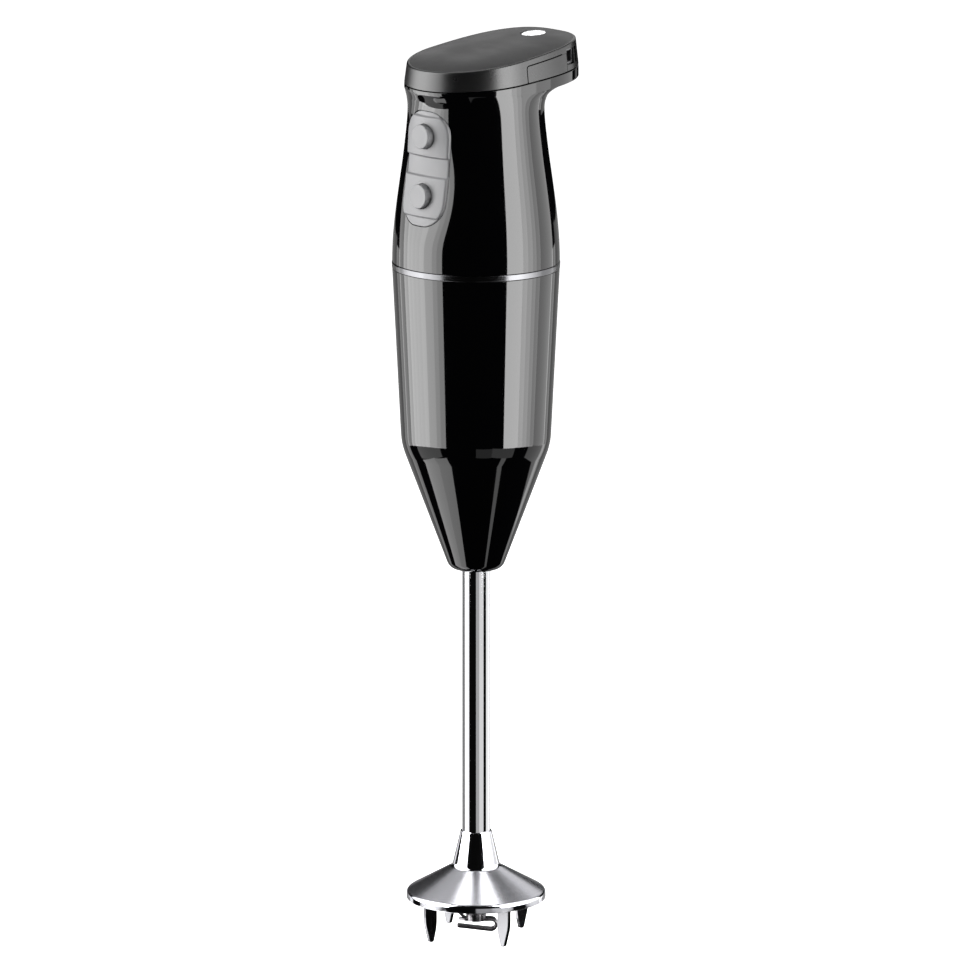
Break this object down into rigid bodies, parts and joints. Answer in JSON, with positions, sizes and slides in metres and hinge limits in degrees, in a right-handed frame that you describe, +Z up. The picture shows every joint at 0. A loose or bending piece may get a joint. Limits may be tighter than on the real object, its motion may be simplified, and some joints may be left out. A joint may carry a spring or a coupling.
{
  "type": "immersion blender",
  "caption": "Cordless immersion blender with a tapered motor body, waisted grip with two buttons, removable battery pack, long shaft tube, tined guard bell and pull-off blade.",
  "frame": {"origin": "centre of the guard rim's lower edge, on the shaft's axis", "axes": "+Z up the shaft to the battery pack's head, -Y the front with the buttons, +Y the side that the head overhangs"},
  "size_m": [0.072, 0.0845, 0.3923],
  "materials": {
    "gloss_black": "high gloss moulded",
    "satin_black": "satin moulded",
    "matt_cover": "fine grained matt",
    "grey_trim": "satin light grey",
    "grey_soft": "soft-touch light grey",
    "lens": "milky translucent",
    "inner_plastic": "plain moulded",
    "chrome_tube": "polished",
    "bell_steel": "fine turned on the cone, polished rim and tines",
    "blade_steel": "ground stainless",
    "machine_steel": "plain ground",
    "core_steel": "laminated",
    "magnet": "sintered",
    "brass": "plain",
    "copper": "enamelled copper",
    "carbon": "pressed carbon",
    "board": "circuit board",
    "rubber": "matt",
    "cell": "shrink sleeve",
    "lead": "insulated wire"
  },
  "bodies": {
    "housing": {"lower_housing": "gloss_black", "trim_ring": "grey_trim", "upper_housing": "gloss_black", "button_panel": "grey_soft", "switch_board": "board", "tact_switches": "inner_plastic", "control_board": "board", "wiring": "lead", "battery_bay": "inner_plastic", "bay_screws": "machine_steel", "bay_contacts": "brass", "head_seal": "rubber", "motor_mount_plate": "machine_steel", "plate_screws": "machine_steel", "motor_screws": "machine_steel", "motor_can": "machine_steel", "motor_magnets": "magnet", "lower_bearing": "machine_steel", "upper_bearing": "machine_steel", "motor_end_bell": "inner_plastic", "brush_card": "inner_plastic", "brush_holders": "brass", "carbon_brushes": "carbon", "brush_springs": "machine_steel", "tube_flange": "machine_steel", "flange_screws": "machine_steel", "shaft_tube": "chrome_tube", "upper_bush": "brass", "lower_bush": "brass", "shaft_seal": "rubber", "guard_bell": "bell_steel"},
    "drive": {"motor_shaft": "machine_steel", "rotor_core": "core_steel", "rotor_windings": "copper", "commutator": "copper", "cooling_fan": "inner_plastic", "motor_coupling": "machine_steel", "coupling_spider": "rubber", "shaft_coupling": "machine_steel", "drive_shaft": "machine_steel", "drive_pin": "machine_steel"},
    "tool": {"tool_hub": "blade_steel", "hub_clip": "machine_steel", "tool_blade": "blade_steel"},
    "pack": {"head_shell": "satin_black", "top_cover": "matt_cover", "charge_lens": "lens", "hanging_insert": "inner_plastic", "latch_pins": "machine_steel", "cell_holder": "inner_plastic", "battery_cells": "cell", "cell_strips": "machine_steel", "pack_board": "board", "pack_terminals": "brass", "pack_screws": "machine_steel"},
    "latch_left": {"latch_tab_left": "satin_black"},
    "latch_right": {"latch_tab_right": "satin_black"},
    "upper_key": {"button_upper": "grey_soft"},
    "lower_key": {"button_lower": "grey_soft"}
  },
  "joints": [
    {"name": "drive_spin", "type": "hinge", "parent": "housing", "child": "drive", "pos_m": [0, 0, 0], "axis": [0, 0, 1], "continuous": true},
    {"name": "tool_pull", "type": "slide", "parent": "drive", "child": "tool", "axis": [0, 0, -1], "range_m": [0, 0.012]},
    {"name": "pack_slide", "type": "slide", "parent": "housing", "child": "pack", "axis": [0, 0, 1], "range_m": [0, 0.08]},
    {"name": "latch_left_squeeze", "type": "hinge", "parent": "pack", "child": "latch_left", "pos_m": [-0.0224, 0.027, 0.366], "axis": [0, 0, 1], "range_deg": [0, 5], "stiffness_Nm_per_rad": 1},
    {"name": "latch_right_squeeze", "type": "hinge", "parent": "pack", "child": "latch_right", "pos_m": [0.0224, 0.027, 0.366], "axis": [0, 0, -1], "range_deg": [0, 5], "stiffness_Nm_per_rad": 1},
    {"name": "upper_key_press", "type": "slide", "parent": "housing", "child": "upper_key", "axis": [0, 0.9976, -0.0698], "range_m": [0, 0.0012], "stiffness_N_per_m": 1500},
    {"name": "lower_key_press", "type": "slide", "parent": "housing", "child": "lower_key", "axis": [0, 0.9976, -0.0698], "range_m": [0, 0.0012], "stiffness_N_per_m": 1500}
  ]
}
